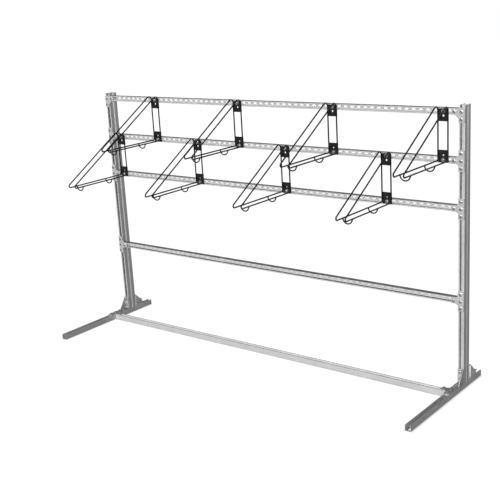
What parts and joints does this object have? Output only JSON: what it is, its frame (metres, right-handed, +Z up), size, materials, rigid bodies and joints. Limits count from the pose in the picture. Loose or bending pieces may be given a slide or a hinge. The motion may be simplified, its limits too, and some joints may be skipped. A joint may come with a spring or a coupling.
{
  "type": "vertical bike rack",
  "caption": "Free-standing bolted frame of steel strut channel on two floor feet, with staggered wire hooks that hold bicycles upright by the front wheel.",
  "frame": {"origin": "on the floor, midway along the rack and midway along its feet", "axes": "+X along the rack, to the right seen from the side where bikes are loaded; -Y towards that side; +Z up"},
  "size_m": [3.1306, 0.9908, 1.8701],
  "materials": {
    "galvanised_channel": "galvanised, satin",
    "zinc_plate": "zinc plated, satin",
    "zinc_bolt": "bright zinc",
    "zinc_nut": "zinc plated",
    "black_wire": "black powder coat, semi-gloss",
    "black_plate": "black powder coat, semi-gloss"
  },
  "bodies": {
    "root": {"foot_left": "galvanised_channel", "foot_right": "galvanised_channel", "upright_left_front": "galvanised_channel", "upright_left_rear": "galvanised_channel", "upright_right_front": "galvanised_channel", "upright_right_rear": "galvanised_channel", "rail_1": "galvanised_channel", "rail_2": "galvanised_channel", "rail_3": "galvanised_channel", "rail_4": "galvanised_channel", "floor_bar": "galvanised_channel", "corner_plate_left": "zinc_plate", "corner_plate_right": "zinc_plate", "tee_plate_left_2": "zinc_plate", "tee_plate_left_3": "zinc_plate", "tee_plate_left_4": "zinc_plate", "tee_plate_right_2": "zinc_plate", "tee_plate_right_3": "zinc_plate", "tee_plate_right_4": "zinc_plate", "floor_plate_left": "zinc_plate", "floor_plate_right": "zinc_plate", "post_bracket_left_front": "zinc_plate", "post_bracket_right_front": "zinc_plate", "post_bracket_left_rear": "zinc_plate", "post_bracket_right_rear": "zinc_plate", "frame_bolts": "zinc_bolt", "frame_washers": "zinc_bolt", "frame_nuts": "zinc_nut", "base_bolts": "zinc_bolt", "base_washers": "zinc_bolt", "base_nuts": "zinc_nut", "hook_bolts": "zinc_bolt", "hook_washers": "zinc_bolt", "hook_nuts": "zinc_nut", "hook_1_loops": "black_wire", "hook_1_saddles": "black_wire", "hook_1_plates": "black_plate", "hook_2_loops": "black_wire", "hook_2_saddles": "black_wire", "hook_2_plates": "black_plate", "hook_3_loops": "black_wire", "hook_3_saddles": "black_wire", "hook_3_plates": "black_plate", "hook_4_loops": "black_wire", "hook_4_saddles": "black_wire", "hook_4_plates": "black_plate", "hook_5_loops": "black_wire", "hook_5_saddles": "black_wire", "hook_5_plates": "black_plate", "hook_6_loops": "black_wire", "hook_6_saddles": "black_wire", "hook_6_plates": "black_plate", "hook_7_loops": "black_wire", "hook_7_saddles": "black_wire", "hook_7_plates": "black_plate", "hook_8_loops": "black_wire", "hook_8_saddles": "black_wire", "hook_8_plates": "black_plate"}
  },
  "joints": []
}
